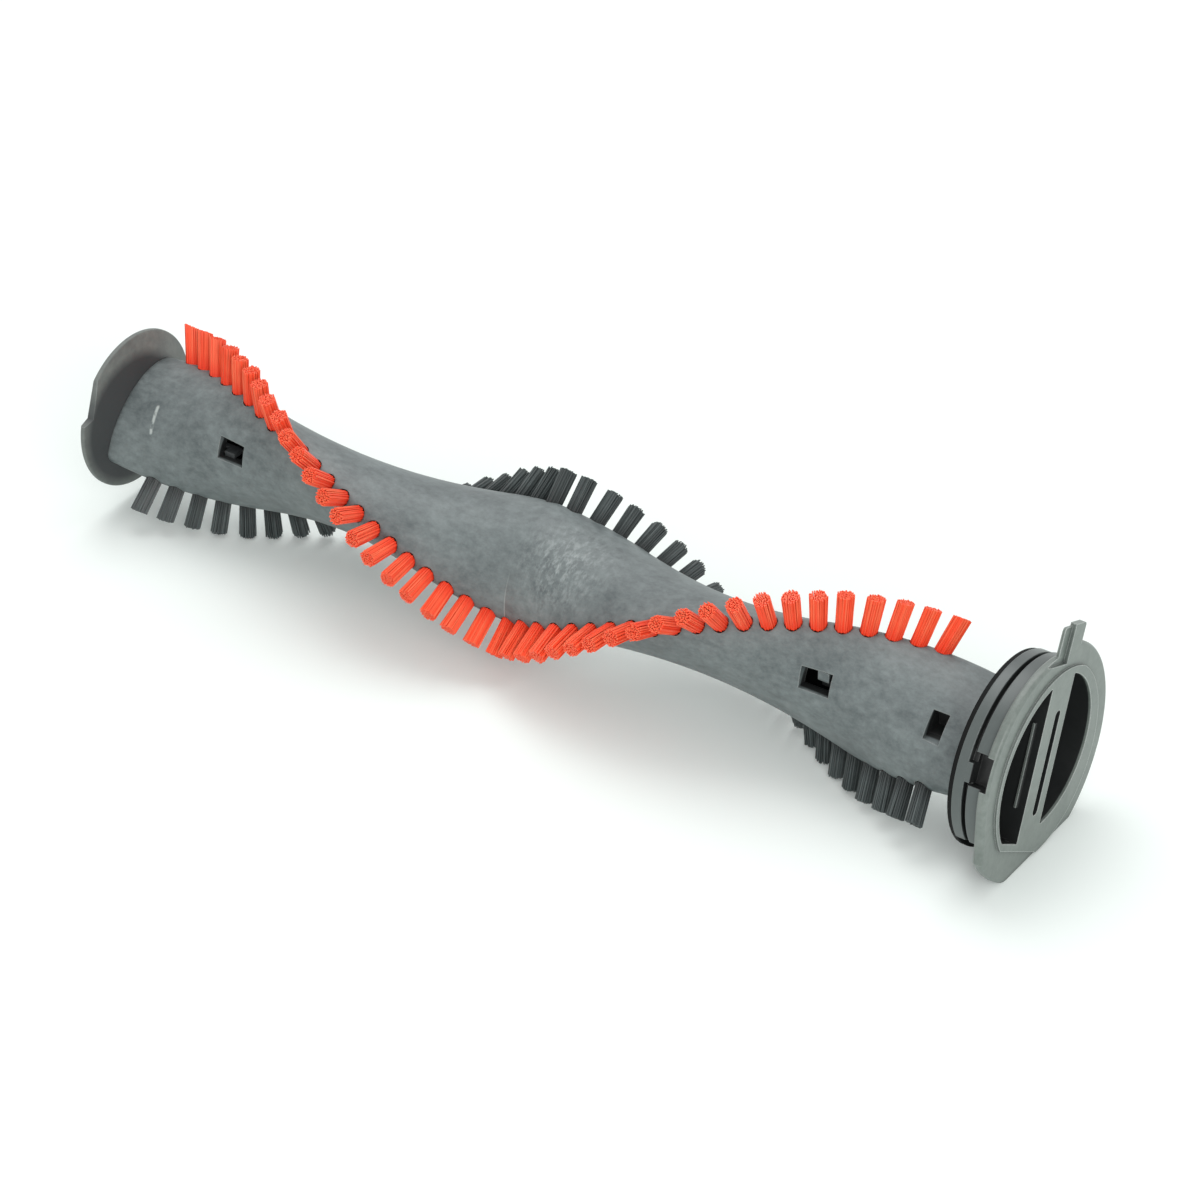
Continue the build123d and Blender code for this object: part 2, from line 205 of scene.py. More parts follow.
def seen_ray(tree):
    """A share of 1 for what the camera sees, straight or through gloss and glass."""
    rays = place(tree, "ShaderNodeLightPath").outputs
    mirrored = calc(tree, "MAXIMUM", rays["Is Glossy Ray"], rays["Is Transmission Ray"])
    return calc(tree, "MAXIMUM", rays["Is Camera Ray"], mirrored)


bpy.ops.mesh.primitive_plane_add(size=FLOOR_SIZE, location=(0, 0, -FLOOR_DROP))
floor = bpy.context.object
floor.name = "floor"
floor_paper = new_finish("floor_paper")
paper = floor_paper.node_tree
far = ramp(paper, arrow(paper, "LENGTH", object_place(paper)), LIT_REACH, FAR_REACH)
glow = calc(paper, "MULTIPLY_ADD", far, ADDED_FAR_GLOW, NEAR_GLOW)
surface(floor_paper)["Base Color"].default_value = FLOOR_COLOUR
surface(floor_paper)["Roughness"].default_value = FLOOR_ROUGHNESS
surface(floor_paper)["Emission Color"].default_value = GLOW_COLOUR
wire(paper, calc(paper, "MULTIPLY", seen_ray(paper), glow), surface(floor_paper)["Emission Strength"])
floor.data.materials.append(floor_paper)
print("floor of", FLOOR_SIZE, "m")

# %% [markdown]
# One large lamp overhead gives the faces their shape and the floor its gentle shadow, a weaker one fills
# from the front, and the world lifts the rest. A sun would be simpler, but its shadows are hard. The
# levels are set so that a colour renders about as it is written.

# %% Lamps and world
SKY_LIGHT = 0.6
SKY_SEEN = 1.0


def soft_lamp(name, location, size, watts):
    """A square lamp that faces the brush."""
    data = bpy.data.lights.new(name, "AREA")
    data.size = size
    data.energy = watts
    lamp = bpy.data.objects.new(name, data)
    lamp.location = location
    lamp.rotation_euler = Vector(location).to_track_quat("Z", "Y").to_euler()
    bpy.context.scene.collection.objects.link(lamp)
    print(name, "of", watts, "W")


soft_lamp("overhead_lamp", location=(-0.25, 0.35, 1.1), size=0.9, watts=6.4)
soft_lamp("front_lamp", location=(0.7, -0.62, 0.5), size=0.6, watts=4.4)

world = bpy.data.worlds.new("studio")
bpy.context.scene.world = world
world.use_nodes = True
sky = world.node_tree
sky_shader = sky.nodes["Background"].inputs
sky_shader["Color"].default_value = (1, 1, 1, 1)
sky_level = calc(sky, "MULTIPLY_ADD", seen_ray(sky), SKY_SEEN - SKY_LIGHT, SKY_LIGHT)
wire(sky, sky_level, sky_shader["Strength"])
bpy.context.scene.view_settings.view_transform = "Standard"
print("world gives", SKY_LIGHT, "of its light and shows", SKY_SEEN)

# %% [markdown]
# Moulded plastic is never one flat colour. Each plastic here mixes two close tones by a broad and a fine
# noise, lets the same mix vary the gloss, and presses a grain into the surface with a bump. Inner
# corners, which Ambient Occlusion finds, are darkened by dust and painted shade, and outer edges, which
# the Bevel node finds, are paled by wear and a painted highlight. An image could carry such marks, but
# noise has no seams on a twisted shape.

# %% Tones, dust and painted shade in corners, wear and painted highlights on edges
BROAD_SCALE = 90.0
MOTTLE_SCALE = 520.0
TONE_RANGE = (0.36, 0.64)
CORNER_REACH = 0.0015
CORNER_RANGE = (0.95, 0.45)
# Corners get dust and painted shade; edges get wear and a painted highlight.
CORNER_DUST_AND_SHADE = paint(38, 41, 41)
DUST_AND_SHADE_SHARE = 0.55
EDGE_ROUND = 0.0004
EDGE_RANGE = (0.99, 0.90)
EDGE_WEAR_AND_HIGHLIGHT = paint(196, 202, 198)


def tone_share(tree, stretch):
    """A share of the paler tone: broad patches and fine mottle in equal parts."""
    pattern = place(
        tree, "ShaderNodeMapping", Vector=object_place(tree), Scale=(stretch, 1.0, 1.0)
    ).outputs[0]
    broad = noise(tree, pattern, BROAD_SCALE, detail=6.0, roughness=0.65)
    mottle = noise(tree, pattern, MOTTLE_SCALE, detail=4.0, roughness=0.7)
    half_broad = calc(tree, "MULTIPLY", broad, 0.5)
    return ramp(tree, calc(tree, "MULTIPLY_ADD", mottle, 0.5, half_broad), *TONE_RANGE)


def add_dust_shade_wear_highlight(tree, tones, rounded, wear_and_highlight_strength):
    """Pales a plastic's outer edges with wear and a painted highlight, and darkens its inner corners with
    dust and painted shade.
    """
    open_share = place(
        tree, "ShaderNodeAmbientOcclusion", {"samples": 4}, Distance=CORNER_REACH
    ).outputs["AO"]
    facing = place(tree, "ShaderNodeNewGeometry").outputs["Normal"]
    turn = arrow(tree, "DOT_PRODUCT", rounded, facing)
    wear_and_highlight = calc(tree, "MULTIPLY", ramp(tree, turn, *EDGE_RANGE), open_share)
    dust_and_shade = calc(tree, "MULTIPLY", ramp(tree, open_share, *CORNER_RANGE), DUST_AND_SHADE_SHARE)
    tones = colour_mix(tree, calc(tree, "MULTIPLY", wear_and_highlight, wear_and_highlight_strength), tones, EDGE_WEAR_AND_HIGHLIGHT)
    return colour_mix(tree, dust_and_shade, tones, CORNER_DUST_AND_SHADE)


# Dust and painted shade reach this far from a corner; the painted edge highlight follows the rounding.
print("dust within", CORNER_REACH, "m of a corner, edges rounded by", EDGE_ROUND, "m")

# %% Plastics, rubber and metals
GLOSS_RANGE = 0.14
GRAIN_SCALE = 900.0
GRAIN_HEIGHT = 0.0004


def plastic(name, base, pale, roughness, grain_depth=0.06, stretch=1.0, wear_and_highlight_strength=0.3):
    """A plastic: two tones, dust and painted shade in corners, wear and painted highlights on edges,
    uneven gloss and a moulding grain.
    """
    finish = new_finish(name)
    tree = finish.node_tree
    share = tone_share(tree, stretch)
    rounded = place(tree, "ShaderNodeBevel", {"samples": 6}, Radius=EDGE_ROUND).outputs[0]
    tones = add_dust_shade_wear_highlight(tree, colour_mix(tree, share, base, pale), rounded, wear_and_highlight_strength)
    gloss = calc(tree, "MULTIPLY_ADD", share, GLOSS_RANGE, roughness - GLOSS_RANGE / 2)
    grain = place(
        tree,
        "ShaderNodeBump",
        Strength=grain_depth,
        Distance=GRAIN_HEIGHT,
        Height=noise(tree, object_place(tree), GRAIN_SCALE, detail=3.0),
        Normal=rounded,
    )
    tree.links.new(tones, surface(finish)["Base Color"])
    tree.links.new(gloss, surface(finish)["Roughness"])
    tree.links.new(grain.outputs["Normal"], surface(finish)["Normal"])
    print("finish", name)
    return finish


body_plastic = plastic(
    "grey_body_plastic", paint(83, 91, 92), paint(122, 131, 131), roughness=0.5, stretch=0.7
)
drive_plastic = plastic(
    "dark_drive_plastic", paint(96, 101, 99), paint(120, 125, 121), roughness=0.5
)
# The cap's edges carry a strong painted highlight as well as wear.
cap_plastic = plastic(
    "grey_cap_plastic",
    paint(100, 109, 104),
    paint(124, 132, 127),
    roughness=0.36,
    grain_depth=0.03,
    wear_and_highlight_strength=0.9,
)
seal_rubber = plastic(
    "black_seal_rubber", paint(10, 11, 11), paint(18, 19, 19), roughness=0.7, wear_and_highlight_strength=0.0
)
surface(seal_rubber)["Specular IOR Level"].default_value = 0.15
pin_steel = plastic(
    "bright_pin_steel", paint(160, 162, 164), paint(188, 190, 192), roughness=0.3
)
bush_bronze = plastic(
    "sintered_bush_bronze", paint(150, 112, 66), paint(172, 132, 84), roughness=0.45
)
for metal in (pin_steel, bush_bronze):
    surface(metal)["Metallic"].default_value = 1.0

# %% [markdown]
# Shade is painted darker where it falls: inside the windows, on the drive flange near the body, in the
# cap's groove and notch, and in its finger pockets. Painting each face by hand would work too, but the
# part's sizes already say where those places are, so sums on a point's place along and around the
# roller's axis find them.

# %% Places round the axis
def off_axis(tree):
    """A point's place along the roller, and its place sideways and upward from the axis."""
    run, side, height = place(tree, "ShaderNodeSeparateXYZ", Vector=object_place(tree)).outputs
    return run, calc(tree, "SUBTRACT", side, AXIS_SIDE), calc(tree, "SUBTRACT", height, AXIS_HEIGHT)


def distance_out(tree, side, height):
    """The distance out from a line along the roller."""
    squares = calc(tree, "MULTIPLY_ADD", side, side, calc(tree, "MULTIPLY", height, height))
    return calc(tree, "SQRT", squares)


def reach_toward(tree, side, height, degrees):
    """How far a point lies in a direction round the axis."""
    level, upright = math.cos(math.radians(degrees)), math.sin(math.radians(degrees))
    return calc(tree, "MULTIPLY_ADD", side, level, calc(tree, "MULTIPLY", height, upright))


def within(tree, value, low, high, soft=0.0001):
    """A share of 1 between two values, with soft ends."""
    above = ramp(tree, value, low - soft, low)
    return calc(tree, "MULTIPLY", above, ramp(tree, value, high + soft, high))


def all_of(tree, first, *shares):
    """A share that is high only where all the shares are."""
    for share in shares:
        first = calc(tree, "MULTIPLY", first, share)
    return first


print("places are measured from the axis at", AXIS_SIDE, AXIS_HEIGHT)

# %% Painted shade in the windows and on the drive flange
WINDOW_OUT = (0.0094, 0.0088)
WINDOW_PAINTED_SHADE = paint(26, 28, 28)
FLANGE_SHADE_SIDE = 0.0024
FLANGE_SHADE_HEIGHT = 0.0010
FLANGE_SHADE_OUT = (0.0188, 0.0160)
FLANGE_PAINTED_SHADE = paint(58, 61, 62)

tree = body_plastic.node_tree
body_run, body_side, body_height = off_axis(tree)
body_out = distance_out(tree, body_side, body_height)
# Painted shade inside the hollow body, seen through the windows.
cover(body_plastic, ramp(tree, body_out, *WINDOW_OUT), WINDOW_PAINTED_SHADE)

tree = drive_plastic.node_tree
_, flange_side, flange_height = off_axis(tree)
shade_side = calc(tree, "ADD", flange_side, FLANGE_SHADE_SIDE)
shade_height = calc(tree, "ADD", flange_height, FLANGE_SHADE_HEIGHT)
shade_out = distance_out(tree, shade_side, shade_height)
# Painted shade on the drive flange beside the body, widest where the body's flat side leaves the face
# open.
cover(drive_plastic, ramp(tree, shade_out, *FLANGE_SHADE_OUT), FLANGE_PAINTED_SHADE)
print("windows are dark within", WINDOW_OUT[0], "m, the flange within", FLANGE_SHADE_OUT[0], "m")

# %% [markdown]
# The cap is pale on its face, with shade painted dark into its recesses and onto the collar behind its
# rim. Its faces stand at set distances from the cap's end, and the frame gives that end. Each recess is
# then a span along the axis, out from it, or across a direction round it, and the shares of these spans
# are multiplied.

# %% Spans of the cap's recesses
PANEL_HEIGHT = 0.0006
RIM_THICKNESS = 0.0025
COLLAR_LENGTH = 0.0033
CAP_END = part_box("end_cap")[1].x
RIM_FACE = CAP_END - PANEL_HEIGHT
RIM_BACK = RIM_FACE - RIM_THICKNESS
COLLAR_BACK = RIM_BACK - COLLAR_LENGTH

POCKET_RUN = (RIM_FACE - 0.00002, RIM_FACE - 0.0002)
POCKET_OUT = (0.0232, 0.0230)
BAR_DEGREES = 71.0
SLOT_RUN = (CAP_END - 0.00005, CAP_END - 0.00015)
SLOT_ALONG = (-0.02, 0.02)
SLOT_ACROSS = (-0.0019, 0.0056)
RIB_RUN = (CAP_END - 0.0028, CAP_END - 0.0020)
RIB_ACROSS = (0.0056, 0.0060)
RIB_SHARE = 0.6
GROOVE_RUN = (COLLAR_BACK + 0.0001, COLLAR_BACK)
GROOVE_OUT = (0.0240, 0.0237)
NOTCH_DEGREES = 156.5
NOTCH_RUN = (COLLAR_BACK - 0.0001, RIM_FACE - 0.0006)
NOTCH_REACH = (0.0195, 0.0200)
NOTCH_ACROSS = (-0.00405, 0.00405)
NOTCH_SOFT = 0.00005
COLLAR_RUN = (RIM_BACK, RIM_BACK - 0.0002)
COLLAR_SHADE_SHARE = 0.85
COLLAR_PAINTED_SHADE = paint(74, 81, 81)
CAP_PAINTED_SHADE = paint(32, 34, 34)
print("cap from", round(COLLAR_BACK, 5), "at the collar's back to", round(CAP_END, 5))

# %% Painted shade in the cap
tree = cap_plastic.node_tree
run, side, height = off_axis(tree)
out = distance_out(tree, side, height)
bar_along = reach_toward(tree, side, height, BAR_DEGREES)
bar_across = reach_toward(tree, side, height, BAR_DEGREES + 90.0)
notch_reach = reach_toward(tree, side, height, NOTCH_DEGREES)
notch_across = reach_toward(tree, side, height, NOTCH_DEGREES + 90.0)

inner = ramp(tree, out, *POCKET_OUT)
pockets = all_of(tree, inner, ramp(tree, run, *POCKET_RUN))
slot = all_of(
    tree,
    inner,
    ramp(tree, run, *SLOT_RUN),
    within(tree, bar_across, *SLOT_ACROSS),
    within(tree, bar_along, *SLOT_ALONG),
)
# A ledge on the bar's wall is partly spared the painted shade, left as a painted lit strip.
rib = all_of(tree, within(tree, run, *RIB_RUN), within(tree, bar_across, *RIB_ACROSS), RIB_SHARE)
face_painted_shade = all_of(tree, calc(tree, "MAXIMUM", pockets, slot), calc(tree, "SUBTRACT", 1.0, rib))
groove = all_of(tree, ramp(tree, run, *GROOVE_RUN), ramp(tree, out, *GROOVE_OUT))
notch = all_of(
    tree,
    ramp(tree, notch_reach, *NOTCH_REACH),
    within(tree, notch_across, *NOTCH_ACROSS, NOTCH_SOFT),
    within(tree, run, *NOTCH_RUN),
)
side_painted_shade = calc(tree, "MAXIMUM", groove, notch)
# The collar behind the rim is painted darker as shade.
cover(cap_plastic, calc(tree, "MULTIPLY", ramp(tree, run, *COLLAR_RUN), COLLAR_SHADE_SHARE), COLLAR_PAINTED_SHADE)
# Painted shade in the pockets, the coin slot, the groove and the notch.
cover(cap_plastic, calc(tree, "MAXIMUM", face_painted_shade, side_painted_shade), CAP_PAINTED_SHADE)
print("cap shaded with", len(tree.nodes), "nodes")

# %% [markdown]
# A used brush has scuffs, and the photograph shows three: a patch of pale specks near the middle, one
# short scratch near the drive end and a faint parting line where the two halves of the twist meet.
# Decals could show them, but a distance to a spot or to a line is enough and needs no image.

# %% Shapes of the scuffs
VERTEX_PLACE = -0.0086
VERTEX_DEGREES = 224.0
SPECK_SPOT = (0.0044, -0.0076, 0.0321)
SPECK_REACH = 0.016
SPECK_STRETCH = (1.0, 0.5, 0.5)
SPECK_SCALE = 800.0
SPECK_RANGE = (0.46, 0.72)
SPECK_PALE = paint(166, 174, 173)
SCRATCH_TOP = (-0.1201, 0.0, 0.0322)
SCRATCH_END = (-0.1196, 0.0, 0.0270)
SCRATCH_WIDTH = 0.0006
SCRATCH_SCALE = 700.0
SCRATCH_RANGE = (0.38, 0.55)
SCRATCH_SIDE = (0.0, -0.001)
PARTING_HALF_WIDTH = 0.0001
PARTING_REACH = (0.004, 0.014)
PARTING_SHARE = 0.45
SKIN_OUT = (0.0090, 0.0096)
MARK_PALE = paint(176, 183, 180)


def stroke(tree, where, start, end, width):
    """A share of 1 on a line in the front view, whatever the depth."""
    line = Vector(end) - Vector(start)
    flat = arrow(tree, "MULTIPLY", where, (1.0, 0.0, 1.0))
    offset = arrow(tree, "SUBTRACT", flat, start)
    progress = calc(tree, "DIVIDE", arrow(tree, "DOT_PRODUCT", offset, line), line.length_squared)
    nearest = arrow(tree, "SCALE", line, ramp(tree, progress, 0.0, 1.0))
    return ramp(tree, arrow(tree, "DISTANCE", offset, nearest), width, width / 3)


print("specks round", SPECK_SPOT, "and a scratch from", SCRATCH_TOP)

# %% Scuffs on the body
tree = body_plastic.node_tree
where = object_place(tree)
speckled = place(tree, "ShaderNodeMapping", Vector=where, Scale=SPECK_STRETCH).outputs[0]
specks = ramp(tree, noise(tree, speckled, SPECK_SCALE, detail=5.0, roughness=0.7), *SPECK_RANGE)
near_spot = ramp(tree, arrow(tree, "DISTANCE", where, SPECK_SPOT), SPECK_REACH, 0.0)
cover(body_plastic, all_of(tree, near_spot, specks), SPECK_PALE)

scratch = all_of(
    tree,
    stroke(tree, where, SCRATCH_TOP, SCRATCH_END, SCRATCH_WIDTH),
    ramp(tree, noise(tree, where, SCRATCH_SCALE, detail=3.0), *SCRATCH_RANGE),
    ramp(tree, body_side, *SCRATCH_SIDE),
)
parting = all_of(
    tree,
    within(tree, body_run, VERTEX_PLACE - PARTING_HALF_WIDTH, VERTEX_PLACE + PARTING_HALF_WIDTH),
    ramp(tree, reach_toward(tree, body_side, body_height, VERTEX_DEGREES), *PARTING_REACH),
    PARTING_SHARE,
)
marks = all_of(tree, calc(tree, "MAXIMUM", scratch, parting), ramp(tree, body_out, *SKIN_OUT))
cover(body_plastic, marks, MARK_PALE)
print("body finished with", len(tree.nodes), "nodes")

# %% [markdown]
# Each solid of the brush is one moulding or one turned part, so one finish covers it whole. Materials
# could be set face by face, but the sums above already tell the faces apart. The two rows of tufts are
# left out here, because real bristles take their place below.

# %% Dress the CAD nodes
for finish, node_names in (
    (body_plastic, ("roller_body", "bearing_plug")),
    (drive_plastic, ("drive_flange",)),
    (cap_plastic, ("end_cap",)),
    (seal_rubber, ("dust_seal",)),
    (pin_steel, ("axle_pin", "inner_washer", "outer_washer", "pin_clip")),
    (bush_bronze, ("bearing_bush",)),
):
    for node_name in node_names:
        solid = frame["nodes"][node_name]
        solid.data.materials.clear()
        solid.data.materials.append(finish)
    print(finish.name, "on", ", ".join(node_names))

# %% [markdown]
# Bristles are drawn nylon: each has a slightly different tone, and they look deeper in colour toward the
# root, where they shade each other. A noise on the surface could vary the tone too, but it would not
# follow the rods, so every rod carries its own tone as an attribute that the material reads.

# %% Finish of the bristles
TONE_NAME = "bristle_tone"
ROOT_SHADE_OUT = (0.0195, 0.0150)
NYLON_GLOSS_RANGE = 0.2
NYLON_SCALE = 2500.0
NYLON_BUMP = 0.1
NYLON_HEIGHT = 0.0001


def bristle_finish(name, root, dull, bright, roughness):
    """Nylon bristles: each rod has its own tone, and the roots lie in the tuft's shade."""
    finish = new_finish(name)
    tree = finish.node_tree
    tone = place(tree, "ShaderNodeAttribute", {"attribute_name": TONE_NAME}).outputs["Fac"]
    tree.links.new(colour_mix(tree, tone, dull, bright), surface(finish)["Base Color"])
    _, side, height = off_axis(tree)
    cover(finish, ramp(tree, distance_out(tree, side, height), *ROOT_SHADE_OUT), root)
    gloss = calc(tree, "MULTIPLY_ADD", tone, NYLON_GLOSS_RANGE, roughness - NYLON_GLOSS_RANGE / 2)
    tree.links.new(gloss, surface(finish)["Roughness"])
    fine = noise(tree, object_place(tree), NYLON_SCALE, detail=2.0)
    bump = place(tree, "ShaderNodeBump", Strength=NYLON_BUMP, Distance=NYLON_HEIGHT, Height=fine)
    tree.links.new(bump.outputs["Normal"], surface(finish)["Normal"])
    print("finish", name)
    return finish


bright_bristle = bristle_finish(
    "orange_bristle", paint(246, 66, 34), paint(255, 85, 50), paint(255, 118, 80), roughness=0.45
)
dark_bristle = bristle_finish(
    "dark_bristle", paint(40, 45, 45), paint(50, 57, 57), paint(84, 92, 92), roughness=0.45
)

# %% [markdown]
# The bristles are thousands of thin rods. They could be hair particles, but the export needs plain
# meshes, so Geometry Nodes places one rod per point. The tree's inputs are the sizes of a row, and
# one tree serves both rows. A sum on the point's index says which tuft a rod belongs to.

# %% Inputs of one row of tufts
HALF_TURN_LENGTH = 0.1146
tufts_tree = bpy.data.node_groups.new("tuft_row", "GeometryNodeTree")
sheet = tufts_tree.interface
sheet.new_socket("Geometry", in_out="OUTPUT", socket_type="NodeSocketGeometry")
ROW_INPUTS = {
    "Tufts": ("NodeSocketInt", 42),
    "Bristles": ("NodeSocketInt", 90),
    "First tuft": ("NodeSocketFloat", -0.1216),
    "Pitch": ("NodeSocketFloat", 0.00541),
    "Left lean": ("NodeSocketFloat", 0.0),
    "Right lean": ("NodeSocketFloat", 0.0),
    "Lean span": ("NodeSocketFloat", 0.024),
    "Vertex place": ("NodeSocketFloat", VERTEX_PLACE),
    "Vertex direction": ("NodeSocketFloat", math.radians(VERTEX_DEGREES)),
    "Turn per metre": ("NodeSocketFloat", math.pi / HALF_TURN_LENGTH),
    "Root distance": ("NodeSocketFloat", 0.0150),
    "Tip distance": ("NodeSocketFloat", 0.0243),
    "Root radius": ("NodeSocketFloat", 0.00195),
    "Tip radius": ("NodeSocketFloat", 0.0021),
    "Thickness": ("NodeSocketFloat", 0.0002),
    "Seed": ("NodeSocketInt", 1),
    "Finish": ("NodeSocketMaterial", None),
}
ROW_KEYS = {}
for label, (kind, value) in ROW_INPUTS.items():
    socket = sheet.new_socket(label, in_out="INPUT", socket_type=kind)
    if value is not None:
        socket.default_value = value
    ROW_KEYS[label] = socket.identifier
print("row inputs:", list(ROW_KEYS))

# %% Tuft, member and chance
DRAWS = {
    "spin": 3,
    "lean along": 5,
    "lean aside": 6,
    "stray along": 7,
    "stray aside": 8,
    "tip": 9,
    "tone": 11,
}
given = tufts_tree.nodes.new("NodeGroupInput").outputs
index = place(tufts_tree, "GeometryNodeInputIndex").outputs[0]
tuft = calc(tufts_tree, "FLOOR", calc(tufts_tree, "DIVIDE", index, given["Bristles"]))
member = calc(tufts_tree, "SUBTRACT", index, calc(tufts_tree, "MULTIPLY", tuft, given["Bristles"]))


def chance(draw, low, high, number):
    """A steady random number for each tuft or bristle, apart for each draw."""
    seed = calc(tufts_tree, "ADD", given["Seed"], DRAWS[draw])
    made = place(tufts_tree, "FunctionNodeRandomValue", Min=low, Max=high, ID=number, Seed=seed)
    return [s for s in made.outputs if s.enabled][0]


print("random draws:", list(DRAWS))

# %% [markdown]
# A tuft stands square to the body's twisted edge, so its direction turns as the row runs away from the
# vertex, where the two halves of the twist meet. Near the ends of a row the tufts lean outward. Points
# along a curve could give the same places, but the twist is even, so one sum on the tuft's number does.

# %% Where each tuft stands and leans
tuft_x = calc(tufts_tree, "MULTIPLY_ADD", tuft, given["Pitch"], given["First tuft"])
off_vertex = calc(tufts_tree, "ABSOLUTE", calc(tufts_tree, "SUBTRACT", tuft_x, given["Vertex place"]))
turned = calc(tufts_tree, "MULTIPLY", off_vertex, given["Turn per metre"])
direction = calc(tufts_tree, "SUBTRACT", given["Vertex direction"], turned)
upward = calc(tufts_tree, "SINE", direction)
level = calc(tufts_tree, "COSINE", direction)
downward = calc(tufts_tree, "MULTIPLY", upward, -1.0)
outward = place(tufts_tree, "ShaderNodeCombineXYZ", X=0.0, Y=level, Z=upward).outputs[0]
sideways = place(tufts_tree, "ShaderNodeCombineXYZ", X=0.0, Y=downward, Z=level).outputs[0]
lengthways = place(tufts_tree, "ShaderNodeCombineXYZ", X=1.0).outputs[0]
middle = place(tufts_tree, "ShaderNodeCombineXYZ", X=tuft_x, Y=AXIS_SIDE, Z=AXIS_HEIGHT).outputs[0]
last_tuft = calc(tufts_tree, "SUBTRACT", given["Tufts"], 1.0)


def end_lean(tufts_away, lean):
    """How far a tuft near a row's end leans, by how many tufts it is from that end."""
    away = calc(tufts_tree, "MULTIPLY", tufts_away, given["Pitch"])
    away = calc(tufts_tree, "DIVIDE", away, given["Lean span"])
    share = calc(tufts_tree, "MAXIMUM", calc(tufts_tree, "SUBTRACT", 1.0, away), 0.0)
    return calc(tufts_tree, "MULTIPLY", share, lean)


right_lean = end_lean(calc(tufts_tree, "SUBTRACT", last_tuft, tuft), given["Right lean"])
row_lean = calc(tufts_tree, "SUBTRACT", right_lean, end_lean(tuft, given["Left lean"]))
print("tuft sums:", len(tufts_tree.nodes), "nodes")

# %% [markdown]
# Inside a tuft the rods fill a round hole. Random places would leave gaps and clumps, so a sunflower
# spiral spreads them evenly: each rod turns on by the golden angle and moves out by a square root.
# Small random leans and lengths then keep the tufts from looking machine-made.

# %% Where each rod starts and ends
GOLDEN_TURN = 2.399963
SPIN_RANGE = 6.28
LEAN = 0.0003
STRAY = 0.00012
TIP_RANGE = (-0.0002, 0.00005)

spread = calc(tufts_tree, "DIVIDE", calc(tufts_tree, "ADD", member, 0.5), given["Bristles"])
spread = calc(tufts_tree, "SQRT", spread)
spin = calc(tufts_tree, "MULTIPLY_ADD", member, GOLDEN_TURN, chance("spin", 0.0, SPIN_RANGE, tuft))
lean_along = calc(tufts_tree, "ADD", row_lean, chance("lean along", -LEAN, LEAN, tuft))
lean_aside = chance("lean aside", -LEAN, LEAN, tuft)


def rod_end(distance, radius, loose):
    """A rod's end: out from the axis, then over the tuft's round section, with its lean if loose."""
    reach = calc(tufts_tree, "MULTIPLY", spread, radius)
    along = calc(tufts_tree, "MULTIPLY", reach, calc(tufts_tree, "COSINE", spin))
    aside = calc(tufts_tree, "MULTIPLY", reach, calc(tufts_tree, "SINE", spin))
    if loose:
        along = calc(tufts_tree, "ADD", along, lean_along)
        aside = calc(tufts_tree, "ADD", aside, lean_aside)
        along = calc(tufts_tree, "ADD", along, chance("stray along", -STRAY, STRAY, index))
        aside = calc(tufts_tree, "ADD", aside, chance("stray aside", -STRAY, STRAY, index))
    end = middle
    for way, amount in ((outward, distance), (lengthways, along), (sideways, aside)):
        end = arrow(tufts_tree, "ADD", end, arrow(tufts_tree, "SCALE", way, amount))
    return end


tip_distance = calc(tufts_tree, "ADD", given["Tip distance"], chance("tip", *TIP_RANGE, index))
rod_root = rod_end(given["Root distance"], given["Root radius"], loose=False)
rod_tip = rod_end(tip_distance, given["Tip radius"], loose=True)
rod = arrow(tufts_tree, "SUBTRACT", rod_tip, rod_root)
print("rod sums:", len(tufts_tree.nodes), "nodes")

# %% [markdown]
# One bristle is a thin rod that tapers a little. A curve with a round profile would do, but thousands of
# rods have to stay light, so a cone with five sides is placed on each point, aimed along its rod and
# stretched to its length. The tree ends in real meshes with their material, as the export needs.

# %% One rod on every point
ROD_SIDES = 5
ROD_TAPER = 0.92

points = place(
    tufts_tree,
    "GeometryNodePoints",
    Count=calc(tufts_tree, "MULTIPLY", given["Tufts"], given["Bristles"]),
    Position=rod_root,
)
toned = place(
    tufts_tree,
    "GeometryNodeStoreNamedAttribute",
    {"data_type": "FLOAT", "domain": "POINT"},
    Geometry=points.outputs[0],
    Name=TONE_NAME,
    Value=chance("tone", 0.0, 1.0, index),
)
shape = place(
    tufts_tree,
    "GeometryNodeMeshCone",
    {"fill_type": "NGON"},
    Vertices=ROD_SIDES,
    Side_Segments=1,
    Radius_Top=ROD_TAPER,
    Radius_Bottom=1.0,
    Depth=1.0,
)
size = place(
    tufts_tree,
    "ShaderNodeCombineXYZ",
    X=given["Thickness"],
    Y=given["Thickness"],
    Z=arrow(tufts_tree, "LENGTH", rod),
)
aim = place(tufts_tree, "FunctionNodeAlignRotationToVector", {"axis": "Z"}, Vector=rod)
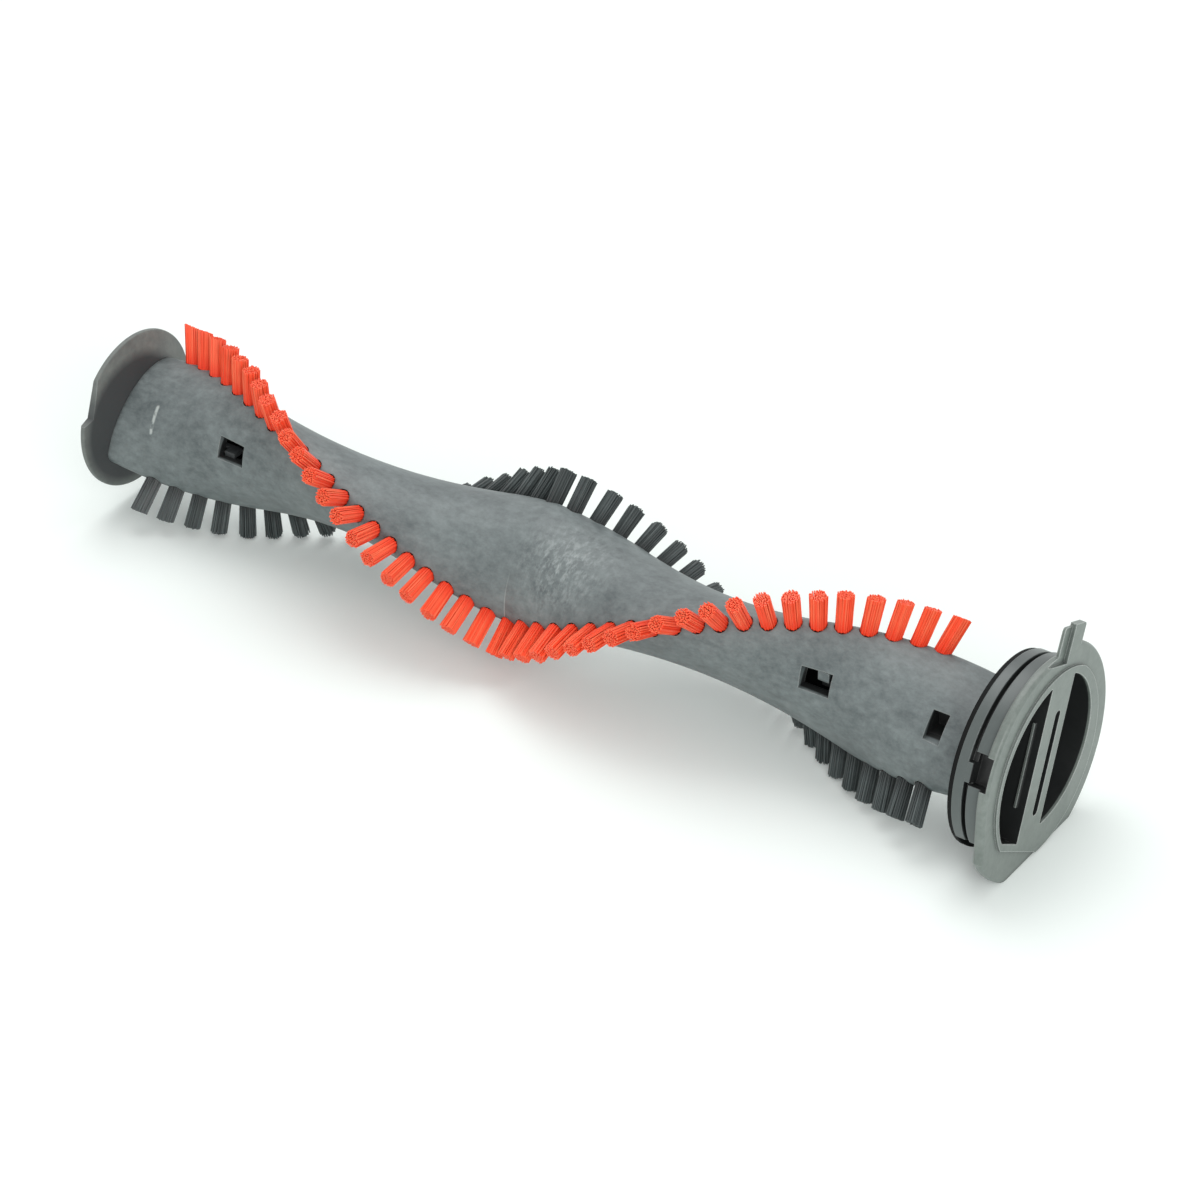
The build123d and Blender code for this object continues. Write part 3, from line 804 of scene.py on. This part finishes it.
rods = place(
    tufts_tree,
    "GeometryNodeInstanceOnPoints",
    Points=toned.outputs[0],
    Instance=shape.outputs["Mesh"],
    Rotation=aim.outputs[0],
    Scale=size.outputs[0],
)
solid_rods = place(tufts_tree, "GeometryNodeRealizeInstances", Geometry=rods.outputs[0])
coloured = place(
    tufts_tree, "GeometryNodeSetMaterial", Geometry=solid_rods.outputs[0], Material=given["Finish"]
)
tufts_tree.links.new(coloured.outputs[0], tufts_tree.nodes.new("NodeGroupOutput").inputs[0])
print("tree of", len(tufts_tree.nodes), "nodes")

# %% [markdown]
# The brush has an orange row and a dark row on opposite edges of the body. Both come from the same tree
# with other inputs. A live modifier would show the same rods, but the row has to ride on the roller as a
# plain mesh, so the evaluated result is kept and the object that grew it is removed.

# %% Bake both rows
def tuft_row(name, node_name, settings):
    """Grows one row of tufts and keeps it as a plain mesh on the roller."""
    seedling = bpy.data.objects.new(name + "_tree", bpy.data.meshes.new(name + "_tree"))
    bpy.context.scene.collection.objects.link(seedling)
    grower = seedling.modifiers.new("tufts", "NODES")
    grower.node_group = tufts_tree
    for label, value in settings.items():
        grower[ROW_KEYS[label]] = value
    grown = seedling.evaluated_get(bpy.context.evaluated_depsgraph_get())
    mesh = bpy.data.meshes.new_from_object(grown)
    mesh.name = name
    bpy.data.objects.remove(seedling)
    row = bpy.data.objects.new(name, mesh)
    bpy.context.scene.collection.objects.link(row)
    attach(row, "roller")
    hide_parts(node_name)
    triangles = sum(len(face.vertices) - 2 for face in mesh.polygons)
    print(name, triangles, "triangles")


tuft_row(
    "bright_bristles",
    "bright_tufts",
    {"Left lean": 0.005, "Right lean": 0.0017, "Seed": 1, "Finish": bright_bristle},
)
tuft_row(
    "dark_bristles",
    "dark_tufts",
    {
        "Tufts": 41,
        "First tuft": -0.1194,
        "Pitch": 0.00571,
        "Left lean": 0.0009,
        "Right lean": 0.0016,
        "Vertex direction": math.radians(VERTEX_DEGREES + 180.0),
        "Seed": 2,
        "Finish": dark_bristle,
    },
)
